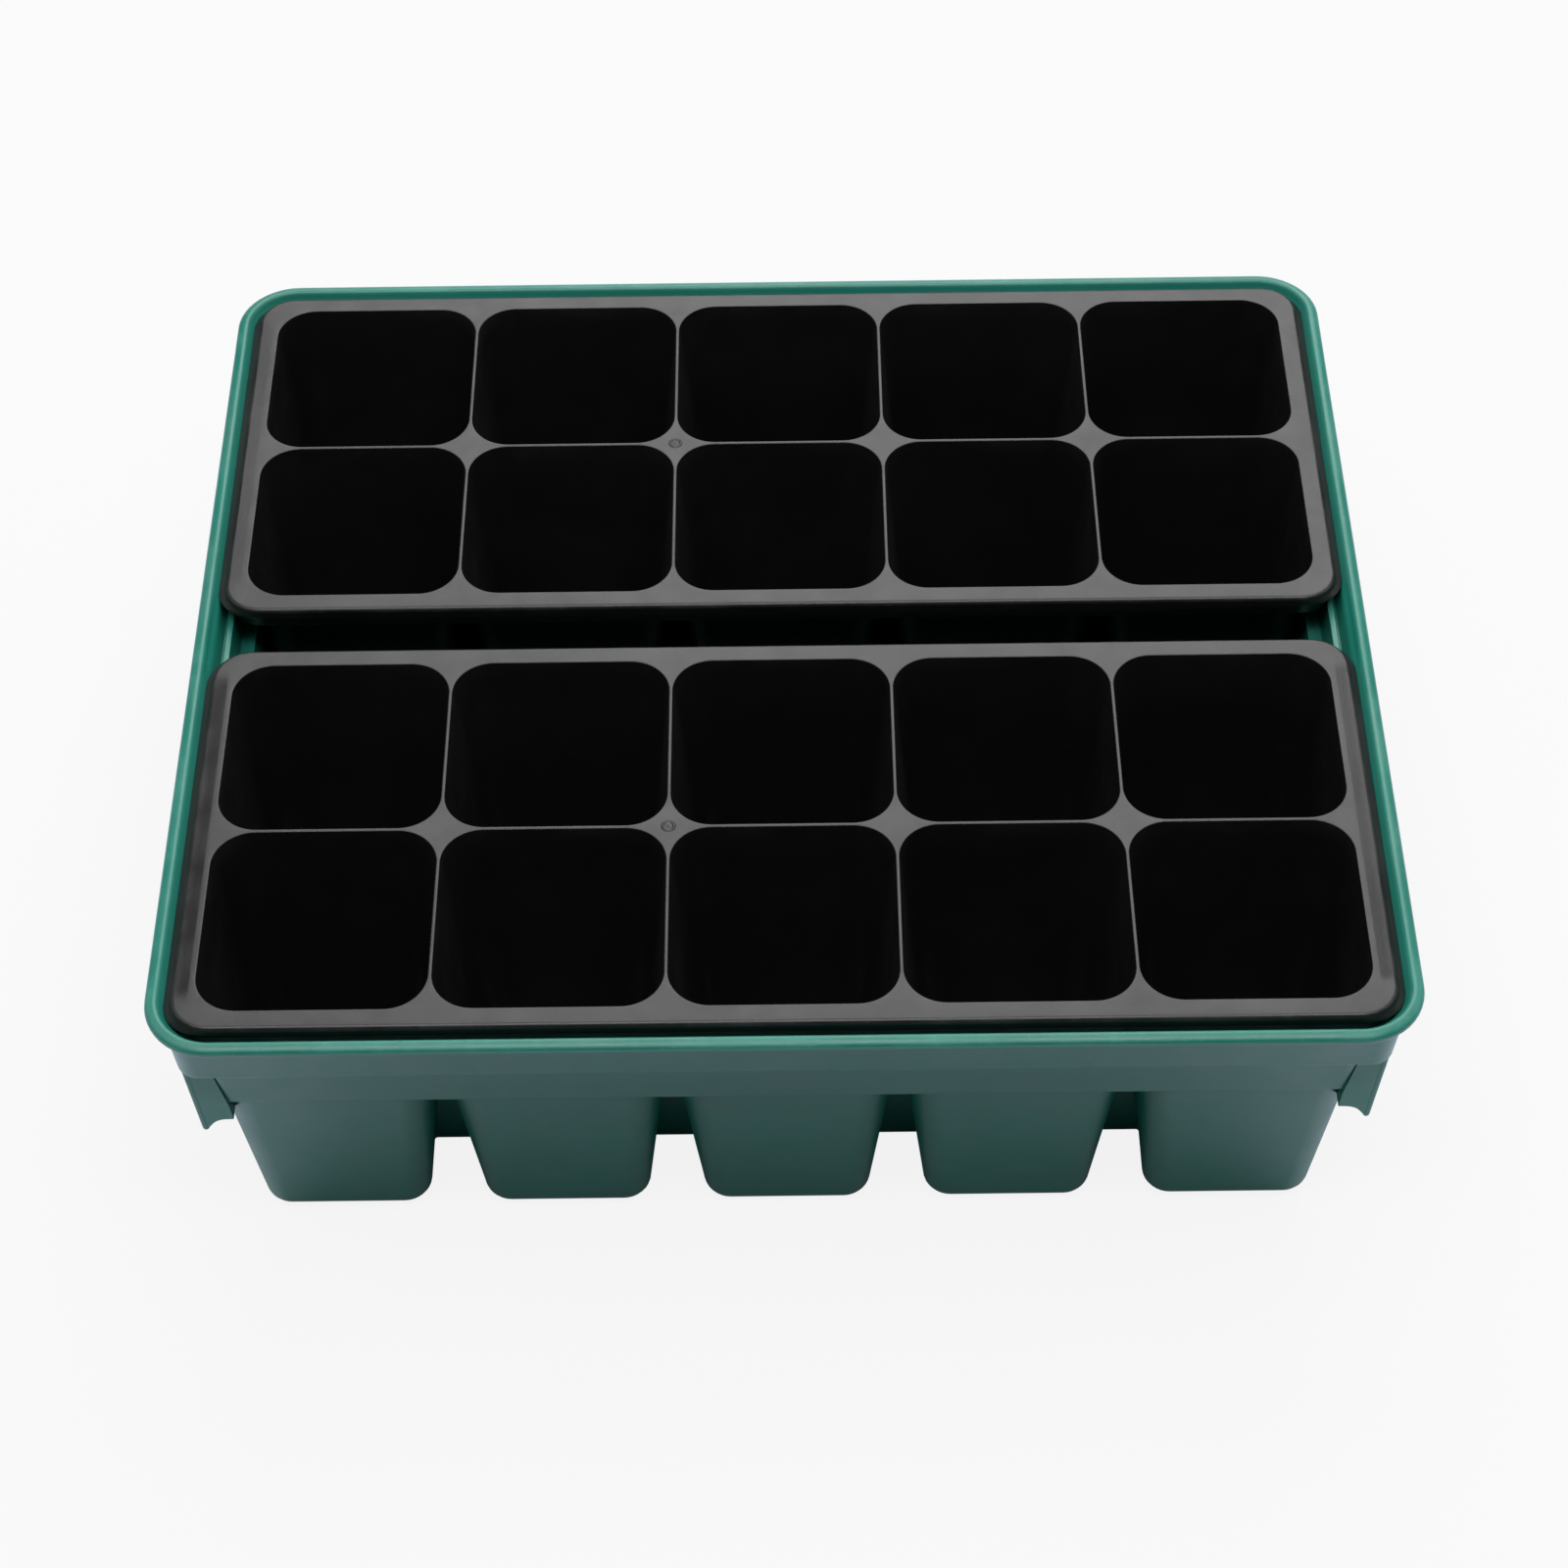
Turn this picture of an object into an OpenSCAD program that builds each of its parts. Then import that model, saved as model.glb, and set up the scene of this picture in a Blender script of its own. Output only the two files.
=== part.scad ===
// Propagator tray with two lift-out cell inserts.
// Millimetres, +Z up. The origin is at the centre of the face that the tray stands on,
// with +X along the row of cells and -Y towards the front.
// Every wall below the rims leans inwards by the same amount as the cells that hang inside it.

/* [Cells] */
// Distance between the centres of neighbouring cells
cell_pitch = 50; // [44:0.5:60]
// Cells along each insert
columns = 5; // [3:1:7]
// Rows of cells in each insert
rows = 2; // [1:1:3]
// Depth of a cell from its mouth to its floor
cell_depth = 74; // [60:1:92]
// Width of the web between two cell mouths
divider = 0.9; // [0.7:0.1:1.2]
// Corner radius of a cell mouth
mouth_r = 9.1; // [8.8:0.1:12]
// How far each cell wall leans in between mouth and floor
cell_lean = 8.2; // [6.8:0.1:8.6]
// Wall thickness of a cell
cell_wall = 0.9; // [0.7:0.1:1.1]
// Floor thickness of a cell
cell_floor = 1; // [0.8:0.1:2]
// Diameter of the drain hole in each cell floor
drain_d = 8; // [5:0.5:12]

/* [Insert rim] */
// Width of the flat strip between the outer cell mouths and the insert's edge
strip_w = 4.6; // [3.8:0.1:6]
// Thickness of the insert's top deck
deck_t = 1.2; // [1:0.1:2]
// Height of the turned-down edge of the insert
skirt_h = 6.2; // [4.5:0.1:8]
// Thickness of the turned-down edge
skirt_t = 1.2; // [1:0.1:1.6]
// Clear gap between the two inserts
insert_gap = 13.4; // [8:0.1:24]

/* [Tray rim] */
// Running gap between the inserts and the tray's rim
rim_gap = 0.7; // [0.4:0.1:1.2]
// Width of the rolled rim, seen from above
bead_w = 5.3; // [4.6:0.1:6.4]
// Height of the rolled rim
bead_h = 2.2; // [1.8:0.1:3.4]
// Corner radius of the rolled rim, seen from above
corner_r = 14.5; // [13:0.5:20]
// How far the inserts stand above the rolled rim
deck_proud = 0.4; // [0:0.1:1]

/* [Tray walls] */
// Thickness of the tray's walls
wall = 1.6; // [1.2:0.1:2]
// Thickness of the upright wall between the rim and the ledge
neck_t = 1.2; // [0.8:0.1:1.6]
// Thickness of the tray's floor
floor_t = 1.8; // [1.4:0.1:3]
// Clear height under the cells, where water collects
reservoir_h = 5.2; // [3:0.1:8]
// Gap between a hanging cell and the tray wall beside it
nest_gap = 0.5; // [0.4:0.1:0.8]
// Width of the ledge that carries the inserts
ledge_w = 2.2; // [1.8:0.1:2.8]
// Corner radius of the bands at the shoulder
band_r = 6; // [4.5:0.5:8]
// Depth of the shoulder below the top of the rim
shoulder_drop = 17.4; // [14:0.1:21]
// Depth of the top of the slots below the top of the rim
slot_drop = 32.2; // [27:0.1:40]
// Step from the plain band in to the pocket faces
pocket_step = 0.8; // [0.4:0.1:1]
// Bevel round the foot of every pocket
foot_bevel = 2.2; // [1:0.1:2.2]
// Depth of the slots between the pockets, from the pocket faces to the slots' back wall
slot_depth = 17.5; // [14:0.5:21]

/* [Side skirts] */
// Depth of the side skirts' lower edge below the top of the rim
side_drop = 41; // [33:0.5:48]
// Thickness of a side skirt
side_t = 1.6; // [1.2:0.1:2]
// How far the side skirts' ends stay back from the front and the rear of the rim
side_inset = 9.5; // [8:0.5:20]
// How far the cross webs stay back from the skirts' ends
web_back = 3; // [2:0.5:12]

/* [Hidden] */
$fn = 48;
eps = 0.01;
tray_green = [0.07, 0.33, 0.27];
insert_black = [0.09, 0.09, 0.10];

// Heights above the ground
deck_z = floor_t + reservoir_h + cell_floor + cell_depth;
rim_z = deck_z - deck_proud;
ledge_z = deck_z - skirt_h;
shoulder_z = rim_z - shoulder_drop;
slot_z = rim_z - slot_drop;
side_z = rim_z - side_drop;

// Plan sizes: half sizes are measured from the centre of what they belong to
mouth_half = (cell_pitch - divider) / 2;
cells_x = (columns - 1) / 2 * cell_pitch;
cells_y = (rows - 1) / 2 * cell_pitch;
insert_x = cells_x + mouth_half + strip_w;
insert_y = cells_y + mouth_half + strip_w;
insert_shift = insert_y + insert_gap / 2;
tray_x = insert_x + rim_gap + bead_w;
tray_y = insert_shift + insert_y + rim_gap + bead_w;

// Corner centres: a tapered block keeps its corner centres and changes only its radius.
// The rim and the inserts share one set, the cells and the walls around them another.
cell_c = mouth_half - mouth_r;
rim_cx = tray_x - corner_r;
rim_cy = tray_y - corner_r;
insert_r = insert_x - rim_cx;
insert_cy = insert_y - insert_r;
body_cx = cells_x + cell_c;
body_cy = insert_shift + cells_y + cell_c;

// Radii about the rim's corner centres
bead_round = 1.2;
bead_in_r = corner_r - bead_w;
ledge_in_r = bead_in_r - ledge_w;

// The upper band: its half sizes at the shoulder, its corner centres and its flare up to the rim
shoulder_x = tray_x - bead_w - ledge_w + wall;
shoulder_y = tray_y - bead_w - ledge_w + wall;
band_cx = shoulder_x - band_r;
band_cy = shoulder_y - band_r;
neck_r = band_r + ledge_w - wall + neck_t;
side_lean = 2.4;

// Inward lean at a height: the cells' walls and the tray's walls both follow it
function lean(z) = whole_microns(cell_lean * (deck_z - z) / cell_depth);
function whole_microns(length) = round(length * 1000) / 1000;
// Radius of the tray's lower walls at a height about the body's corner centres
function outer_r(z) = mouth_r + cell_wall + nest_gap + wall - lean(z);

// The slots' back wall: a core block with wide round corners that joins the columns
core_r = 12.5;
core_bite = 4;
core_cx = cells_x - cell_c - outer_r(0) + core_bite - core_r;
core_cy = body_cy + outer_r(0) - slot_depth - core_r;
core_grow = core_r - outer_r(0);

// Block whose plan is a rounded rectangle about fixed corner centres x and y.
// Its radius runs evenly from r0 at height z0 to r1 at height z1.
module tapered_block(x, y, z0, r0, z1, r1) {
    for (cx = x, cy = y)
        translate([cx, cy, z0]) cylinder(r1 = r0, r2 = r1, h = z1 - z0);
    translate([0, y[1], 0]) rotate([90, 0, 0]) linear_extrude(y[1] - y[0])
        polygon([[x[0] - r0, z0], [x[1] + r0, z0], [x[1] + r1, z1], [x[0] - r1, z1]]);
    translate([x[0], 0, 0]) rotate([90, 0, 90]) linear_extrude(x[1] - x[0])
        polygon([[y[0] - r0, z0], [y[1] + r0, z0], [y[1] + r1, z1], [y[0] - r1, z1]]);
}

// Block about the rim's corner centres
module rim_block(z0, r0, z1, r1) {
    tapered_block([-rim_cx, rim_cx], [-rim_cy, rim_cy], z0, r0, z1, r1);
}

// Block about the upper band's corner centres
module band_block(z0, r0, z1, r1) {
    tapered_block([-band_cx, band_cx], [-band_cy, band_cy], z0, r0, z1, r1);
}

// Plain band: it follows the lean and stands out from the pockets
module plain_band() {
    r1 = band_r;
    r0 = r1 + outer_r(slot_z) - outer_r(shoulder_z);
    x = body_cx + outer_r(shoulder_z) + pocket_step - r1;
    y = body_cy + outer_r(shoulder_z) + pocket_step - r1;
    tapered_block([-x, x], [-y, y], slot_z, r0, shoulder_z, r1);
}

// The tray below its plain band: one column under each line of cells, joined by the core.
// Its radii at the two heights are the walls' outer radii there, plus extra0 and extra1.
module pockets(z0, extra0, z1, extra1) {
    r0 = outer_r(z0) + extra0;
    r1 = outer_r(z1) + extra1;
    for (i = [0 : columns - 1]) {
        x = i * cell_pitch - cells_x;
        tapered_block([x - cell_c, x + cell_c], [-body_cy, body_cy], z0, r0, z1, r1);
    }
    tapered_block([-core_cx, core_cx], [-core_cy, core_cy], z0, r0 + core_grow, z1, r1 + core_grow);
}

// Rolled rim, upper band, shoulder, plain band and pockets
module tray_outside() {
    rim_block(rim_z - bead_round, corner_r, rim_z, corner_r - bead_round);
    rim_block(rim_z - bead_h, corner_r, rim_z - bead_round, corner_r);
    band_block(shoulder_z, band_r, rim_z - bead_h, neck_r);
    plain_band();
    pockets(foot_bevel, 0, slot_z, 0);
    pockets(0, -foot_bevel, foot_bevel, 0);
}

// Space inside the tray
module tray_inside() {
    rim_block(ledge_z, bead_in_r, rim_z + eps, bead_in_r);
    rim_block(shoulder_z + wall, ledge_in_r, ledge_z, ledge_in_r);
    body_r = outer_r(shoulder_z + wall) - wall;
    slot_r = outer_r(slot_z + wall) - wall;
    x = [-body_cx, body_cx];
    y = [-body_cy, body_cy];
    tapered_block(x, y, slot_z + wall, slot_r, shoulder_z + wall, body_r);
    pockets(floor_t, -wall, slot_z + wall, -wall);
}

// Skirts down the two short sides, hollow underneath, with a cross web near each end
module side_skirts() {
    half = tray_y - side_inset;
    low_x = shoulder_x - side_lean;
    edge = side_t / 2;
    web_z = side_z + side_t;
    for (side = [0, 1]) mirror([side, 0, 0]) {
        translate([0, half, 0]) rotate([90, 0, 0]) linear_extrude(2 * half)
            polygon([
                [shoulder_x - side_t, shoulder_z], [shoulder_x, shoulder_z],
                [low_x, side_z + edge], [low_x - edge, side_z], [low_x - side_t, side_z]
            ]);
        for (web_y = [half - web_back, web_back + side_t - half])
            translate([0, web_y, 0]) rotate([90, 0, 0]) linear_extrude(side_t)
                polygon([
                    [body_cx, shoulder_z], [shoulder_x - edge, shoulder_z],
                    [low_x - edge, web_z], [body_cx, web_z]
                ]);
    }
}

module base_tray() {
    color(tray_green) difference() {
        union() {
            tray_outside();
            side_skirts();
        }
        tray_inside();
    }
}

// Places its children at every cell of one insert
module at_cells() {
    for (i = [0 : columns - 1], j = [0 : rows - 1])
        translate([i * cell_pitch - cells_x, j * cell_pitch - cells_y, 0]) children();
}

// One tapered cell: grow is the thickness of wall outside it
module cell(z0, z1, grow) {
    r = mouth_r + grow;
    tapered_block([-cell_c, cell_c], [-cell_c, cell_c], z0, r - lean(z0), z1, r - lean(z1));
}

// Block about the insert's own corner centres
module deck_block(z0, z1, r) {
    tapered_block([-rim_cx, rim_cx], [-insert_cy, insert_cy], z0, r, z1, r);
}

// Insert: a deck with a turned-down edge and a tapered cup under each mouth
module cell_insert() {
    cup_z = floor_t + reservoir_h;
    difference() {
        union() {
            difference() {
                deck_block(ledge_z, deck_z, insert_r);
                deck_block(ledge_z - eps, deck_z - deck_t, insert_r - skirt_t);
            }
            at_cells() cell(cup_z, deck_z - eps, cell_wall);
        }
        at_cells() cell(cup_z + cell_floor, deck_z + eps, 0);
        at_cells() translate([0, 0, cup_z - eps]) cylinder(d = drain_d, h = cell_floor + 2 * eps);
    }
}

module front_insert() {
    color(insert_black) translate([0, -insert_shift, 0]) cell_insert();
}

module rear_insert() {
    color(insert_black) translate([0, insert_shift, 0]) cell_insert();
}

base_tray();
front_insert();
rear_insert();
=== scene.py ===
"""Propagator tray with two lift-out cell inserts, dressed for looks in Blender.

All sizes in the classes are millimetres in the part's own frame: X along the long side, Y towards the
rear, Z up, and the ground at Z = 0. Meshes are turned into metres as they are made.
"""

import logging
import math
from collections.abc import Sequence
from dataclasses import dataclass, field
from enum import Enum

import bmesh
import bpy
from mathutils import Matrix, Vector

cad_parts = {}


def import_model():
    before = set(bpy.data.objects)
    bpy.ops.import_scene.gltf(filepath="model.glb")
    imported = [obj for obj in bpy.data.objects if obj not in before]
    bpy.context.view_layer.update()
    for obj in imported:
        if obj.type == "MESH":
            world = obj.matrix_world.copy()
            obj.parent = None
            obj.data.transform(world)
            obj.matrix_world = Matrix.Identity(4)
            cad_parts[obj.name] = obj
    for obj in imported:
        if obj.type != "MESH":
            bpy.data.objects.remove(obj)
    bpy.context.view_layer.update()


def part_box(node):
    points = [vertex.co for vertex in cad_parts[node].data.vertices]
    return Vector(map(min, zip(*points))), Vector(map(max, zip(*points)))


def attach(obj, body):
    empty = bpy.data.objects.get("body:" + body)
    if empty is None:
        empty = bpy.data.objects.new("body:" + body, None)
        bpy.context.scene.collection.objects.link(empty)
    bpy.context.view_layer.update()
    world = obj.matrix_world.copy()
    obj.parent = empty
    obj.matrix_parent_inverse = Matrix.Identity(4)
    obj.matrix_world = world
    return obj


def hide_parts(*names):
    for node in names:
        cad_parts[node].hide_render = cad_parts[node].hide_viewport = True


LOG = logging.getLogger("propagator_tray")
MM = 0.001
WEAR = "wear"

Pair = tuple[float, float]
Triple = tuple[float, float, float]
Plan = list[Pair]
Socket = bpy.types.NodeSocket
Vert = bmesh.types.BMVert

SCALAR, COLOUR, VECTOR = "NodeSocketFloat", "NodeSocketColor", "NodeSocketVector"
# Height of the walls' long waves and the gap that points are merged over, both in millimetres.
WAVE_HEIGHT = 0.4
MERGE_WITHIN = 0.004
GRAIN_STRENGTH = 0.8


class Place(Enum):
    """The two inserts, by where they sit in the tray."""

    FRONT = "front_insert"
    REAR = "rear_insert"


def arc(centre: Pair, radius: float, start: float, end: float, count: int) -> Plan:
    """Points on a circular arc, both ends included.

    Args:
        centre: Middle of the circle.
        radius: Radius of the circle.
        start: First angle in degrees.
        end: Last angle in degrees.
        count: Number of points.

    Returns:
        The points in order from start to end.
    """
    points: Plan = []
    for step in range(count):
        angle = math.radians(start + (end - start) * step / (count - 1))
        points.append((centre[0] + radius * math.cos(angle), centre[1] + radius * math.sin(angle)))
    return points


def quarter(radius: float, count: int) -> list[Pair]:
    """Inset and rise of a quarter round, from flat underneath to upright.

    Args:
        radius: Radius of the rounding.
        count: Number of points.

    Returns:
        Pairs of how far the point is inset and how far it has risen.
    """
    pairs: list[Pair] = []
    for step in range(count):
        angle = math.pi / 2 * step / (count - 1)
        pairs.append((radius * (1 - math.sin(angle)), radius * (1 - math.cos(angle))))
    return pairs


class Shell:
    """Collects rings of points and the faces between them, and turns them into one object."""

    def __init__(self) -> None:
        """Starts with no points."""
        self.mesh = bmesh.new()
        self.wear = self.mesh.verts.layers.float.new(WEAR)

    def ring(self, plan: Plan, height: float | Sequence[float], wear: float = 0.0) -> list[Vert]:
        """Adds one ring of points.

        Args:
            plan: The ring seen from above.
            height: One height for all of it, or one for each point.
            wear: How exposed the ring is to rubbing, from 0 to 1.

        Returns:
            The new vertices in the plan's order.
        """
        heights = [height] * len(plan) if isinstance(height, (int, float)) else list(height)
        verts = [self.mesh.verts.new((x * MM, y * MM, z * MM)) for (x, y), z in zip(plan, heights)]
        for vert in verts:
            vert[self.wear] = wear
        return verts

    def point(self, x: float, y: float, z: float, wear: float = 0.0) -> Vert:
        """Adds a single point.

        Args:
            x: Place along the long side.
            y: Place towards the rear.
            z: Height.
            wear: How exposed it is to rubbing, from 0 to 1.

        Returns:
            The new vertex.
        """
        vert = self.mesh.verts.new((x * MM, y * MM, z * MM))
        vert[self.wear] = wear
        return vert

    def face(self, verts: Sequence[Vert]) -> None:
        """Adds a face unless its points fall together."""
        unique = list(dict.fromkeys(verts))
        if len(unique) > 2:
            self.mesh.faces.new(unique)

    def band(self, low: Sequence[Vert], high: Sequence[Vert]) -> None:
        """Joins two closed rings of the same length with four-sided faces.

        Args:
            low: The first ring.
            high: The second ring.
        """
        count = len(low)
        for index in range(count):
            after = (index + 1) % count
            self.face([low[index], low[after], high[after], high[index]])

    def stack(self, rings: Sequence[Sequence[Vert]]) -> None:
        """Joins each ring to the next."""
        for low, high in zip(rings, rings[1:]):
            self.band(low, high)

    def build(self, name: str, sharp: float = 38.0) -> bpy.types.Object:
        """Closes the shell and makes the object.

        Args:
            name: Name of the new object.
            sharp: Angle in degrees above which an edge stays crisp.

        Returns:
            The object, smooth shaded and linked to the scene.
        """
        bmesh.ops.remove_doubles(self.mesh, verts=self.mesh.verts, dist=MERGE_WITHIN * MM)
        bmesh.ops.recalc_face_normals(self.mesh, faces=self.mesh.faces)
        data = bpy.data.meshes.new(name)
        self.mesh.to_mesh(data)
        self.mesh.free()
        data.shade_smooth()
        data.set_sharp_from_angle(angle=math.radians(sharp))
        built = bpy.data.objects.new(name, data)
        bpy.context.scene.collection.objects.link(built)
        even = built.modifiers.new("even_faces", "WEIGHTED_NORMAL")
        even.keep_sharp = True
        even.weight = 80
        return built


class NodeDesk:
    """Adds nodes to one tree and links them."""

    def __init__(self, tree: bpy.types.NodeTree) -> None:
        """Keeps the tree that nodes are added to."""
        self.tree = tree

    def add(self, kind: str, label: str = "", **settings: object) -> bpy.types.Node:
        """Adds one node.

        Args:
            kind: Blender's type name of the node.
            label: What the node does here.
            **settings: Properties to set on it.

        Returns:
            The new node.
        """
        node = self.tree.nodes.new(kind)
        node.label = label
        for key, value in settings.items():
            setattr(node, key, value)
        return node

    def link(self, source: Socket, target: Socket) -> None:
        """Links an output to an input."""
        self.tree.links.new(source, target)

    def feed(self, target: Socket, value: object) -> None:
        """Sets an input to a constant, or links it where the value is an output.

        Args:
            target: The input.
            value: A number, a colour, a vector or an output socket.
        """
        if isinstance(value, Socket):
            self.link(value, target)
        else:
            target.default_value = value

    def math(self, operation: str, first: object, second: object = 0.0, clamp: bool = False) -> Socket:
        """Adds a Math node.

        Args:
            operation: Blender's name of the operation.
            first: First operand.
            second: Second operand.
            clamp: Whether the result is kept between 0 and 1.

        Returns:
            The node's output.
        """
        node = self.add("ShaderNodeMath", operation=operation, use_clamp=clamp)
        self.feed(node.inputs[0], first)
        self.feed(node.inputs[1], second)
        return node.outputs[0]

    def mix_colour(self, factor: object, first: object, second: object) -> Socket:
        """Adds a colour Mix node.

        Args:
            factor: How much of the second colour is taken.
            first: First colour.
            second: Second colour.

        Returns:
            The mixed colour.
        """
        node = self.add("ShaderNodeMix", data_type="RGBA")
        self.feed(node.inputs[0], factor)
        self.feed(node.inputs[6], first)
        self.feed(node.inputs[7], second)
        return node.outputs[2]

    def noise(self, place: object, scale: object, detail: float, roughness: float) -> Socket:
        """Adds a Noise texture.

        Args:
            place: Coordinates that it is read at.
            scale: Size of its features, larger being finer.
            detail: Number of finer layers.
            roughness: Strength of the finer layers.

        Returns:
            The noise value, from 0 to 1.
        """
        node = self.add("ShaderNodeTexNoise")
        self.feed(node.inputs["Vector"], place)
        self.feed(node.inputs["Scale"], scale)
        node.inputs["Detail"].default_value = detail
        node.inputs["Roughness"].default_value = roughness
        return node.outputs["Fac"]

    def remap(self, value: object, low: float, high: float) -> Socket:
        """Adds a smooth Map Range node that spreads a range over 0 to 1.

        Args:
            value: The value that is spread out.
            low: Value that becomes 0.
            high: Value that becomes 1.

        Returns:
            The spread value.
        """
        node = self.add("ShaderNodeMapRange", interpolation_type="SMOOTHSTEP")
        self.feed(node.inputs["Value"], value)
        node.inputs["From Min"].default_value = low
        node.inputs["From Max"].default_value = high
        return node.outputs["Result"]

    def stretch(self, place: object, scale: Triple) -> Socket:
        """Adds a Mapping node that only scales.

        Args:
            place: Coordinates going in.
            scale: Scale along each axis.

        Returns:
            The scaled coordinates.
        """
        node = self.add("ShaderNodeMapping")
        self.feed(node.inputs["Vector"], place)
        node.inputs["Scale"].default_value = scale
        return node.outputs["Vector"]


class EffectLibrary:
    """Shader node groups that the finishes share, each built once."""

    def __init__(self) -> None:
        """Builds every group."""
        self.grain = self._mould_grain()
        self.mottle = self._flow_mottle()
        self.scuff = self._edge_scuff()
        self.dust = self._settled_dust()
        self.warp = self._thin_wall_warp()

    @staticmethod
    def _open(
        name: str, inputs: Sequence[tuple[str, str]], outputs: Sequence[tuple[str, str]]
    ) -> tuple[bpy.types.NodeTree, NodeDesk, bpy.types.Node, bpy.types.Node]:
        """Makes an empty group with named sockets.

        Args:
            name: Name of the group.
            inputs: Name and socket kind of each input.
            outputs: Name and socket kind of each output.

        Returns:
            The group, its desk, and its input and output nodes.
        """
        tree = bpy.data.node_groups.new(name, "ShaderNodeTree")
        for label, kind in inputs:
            tree.interface.new_socket(name=label, in_out="INPUT", socket_type=kind)
        for label, kind in outputs:
            tree.interface.new_socket(name=label, in_out="OUTPUT", socket_type=kind)
        desk = NodeDesk(tree)
        return tree, desk, desk.add("NodeGroupInput"), desk.add("NodeGroupOutput")

    def _mould_grain(self) -> bpy.types.NodeTree:
        """Fine spark-eroded grain with a few shallow pits, as a height and a roughness change."""
        tree, desk, enter, leave = self._open(
            "mould_grain",
            [("Place", VECTOR), ("Fineness", SCALAR)],
            [("Height", SCALAR), ("Sheen Break", SCALAR)],
        )
        fine = desk.noise(enter.outputs["Place"], enter.outputs["Fineness"], 4.0, 0.62)
        cells = desk.add("ShaderNodeTexVoronoi", "pebbles", feature="SMOOTH_F1")
        cells.inputs["Smoothness"].default_value = 0.6
        desk.link(enter.outputs["Place"], cells.inputs["Vector"])
        desk.link(desk.math("MULTIPLY", enter.outputs["Fineness"], 0.55), cells.inputs["Scale"])
        pebble = desk.remap(cells.outputs["Distance"], 0.05, 0.75)
        low = desk.math("MULTIPLY", pebble, 0.35)
        height = desk.math("ADD", desk.math("MULTIPLY", fine, 0.65), low)
        desk.link(height, leave.inputs["Height"])
        broad = desk.math("MULTIPLY", enter.outputs["Fineness"], 0.09)
        coarse = desk.noise(enter.outputs["Place"], broad, 3.0, 0.5)
        desk.link(desk.math("SUBTRACT", coarse, 0.5), leave.inputs["Sheen Break"])
        return tree

    def _flow_mottle(self) -> bpy.types.NodeTree:
        """Slight colour change where the melt flowed: long streaks over soft blotches."""
        tree, desk, enter, leave = self._open(
            "flow_mottle",
            [("Place", VECTOR), ("Base", COLOUR), ("Streak", COLOUR), ("Amount", SCALAR)],
            [("Color", COLOUR)],
        )
        streaks = desk.noise(desk.stretch(enter.outputs["Place"], (9.0, 46.0, 30.0)), 1.0, 5.0, 0.6)
        blotch = desk.noise(enter.outputs["Place"], 24.0, 3.0, 0.5)
        soft = desk.math("MULTIPLY", blotch, 0.45)
        flow = desk.remap(desk.math("ADD", desk.math("MULTIPLY", streaks, 0.55), soft), 0.36, 0.66)
        amount = desk.math("MULTIPLY", flow, enter.outputs["Amount"], clamp=True)
        shade = desk.mix_colour(amount, enter.outputs["Base"], enter.outputs["Streak"])
        desk.link(shade, leave.inputs["Color"])
        return tree

    def _edge_scuff(self) -> bpy.types.NodeTree:
        """Paler rubbed marks on exposed edges, broken up by short scratches."""
        tree, desk, enter, leave = self._open(
            "edge_scuff",
            [
                ("Place", VECTOR), ("Exposed", SCALAR), ("Base", COLOUR), ("Rubbed", COLOUR),
                ("Amount", SCALAR),
            ],
            [("Color", COLOUR), ("Mask", SCALAR)],
        )
        patches = desk.remap(desk.noise(enter.outputs["Place"], 55.0, 4.0, 0.6), 0.42, 0.7)
        drawn_out = desk.stretch(enter.outputs["Place"], (340.0, 90.0, 700.0))
        scratches = desk.remap(desk.noise(drawn_out, 1.0, 3.0, 0.6), 0.5, 0.78)
        thinned = desk.math("MULTIPLY", scratches, 0.5)
        broken = desk.math("ADD", desk.math("MULTIPLY", patches, 0.7), thinned, clamp=True)
        mask = desk.math("MULTIPLY", broken, enter.outputs["Exposed"], clamp=True)
        desk.link(mask, leave.inputs["Mask"])
        amount = desk.math("MULTIPLY", mask, enter.outputs["Amount"], clamp=True)
        shade = desk.mix_colour(amount, enter.outputs["Base"], enter.outputs["Rubbed"])
        desk.link(shade, leave.inputs["Color"])
        return tree

    def _settled_dust(self) -> bpy.types.NodeTree:
        """A thin film with specks on what faces up."""
        tree, desk, enter, leave = self._open(
            "settled_dust",
            [("Place", VECTOR), ("Base", COLOUR), ("Dust", COLOUR), ("Amount", SCALAR)],
            [("Color", COLOUR), ("Mask", SCALAR)],
        )
        facing = desk.add("ShaderNodeNewGeometry", "which way it faces")
        split = desk.add("ShaderNodeSeparateXYZ")
        desk.link(facing.outputs["Normal"], split.inputs["Vector"])
        upward = desk.remap(split.outputs["Z"], 0.55, 0.98)
        film = desk.remap(desk.noise(enter.outputs["Place"], 38.0, 5.0, 0.65), 0.4, 0.72)
        specks = desk.remap(desk.noise(enter.outputs["Place"], 1500.0, 1.0, 0.5), 0.72, 0.8)
        sprinkled = desk.math("MULTIPLY", specks, 0.8)
        lying = desk.math("ADD", desk.math("MULTIPLY", film, 0.6), sprinkled, clamp=True)
        mask = desk.math("MULTIPLY", lying, upward, clamp=True)
        desk.link(mask, leave.inputs["Mask"])
        amount = desk.math("MULTIPLY", mask, enter.outputs["Amount"], clamp=True)
        shade = desk.mix_colour(amount, enter.outputs["Base"], enter.outputs["Dust"])
        desk.link(shade, leave.inputs["Color"])
        return tree

    def _thin_wall_warp(self) -> bpy.types.NodeTree:
        """Long low waves of a thin moulded wall, as a height."""
        tree, desk, enter, leave = self._open(
            "thin_wall_warp", [("Place", VECTOR)], [("Height", SCALAR)]
        )
        waves = desk.noise(desk.stretch(enter.outputs["Place"], (16.0, 22.0, 26.0)), 1.0, 1.5, 0.4)
        desk.link(waves, leave.inputs["Height"])
        return tree


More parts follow.
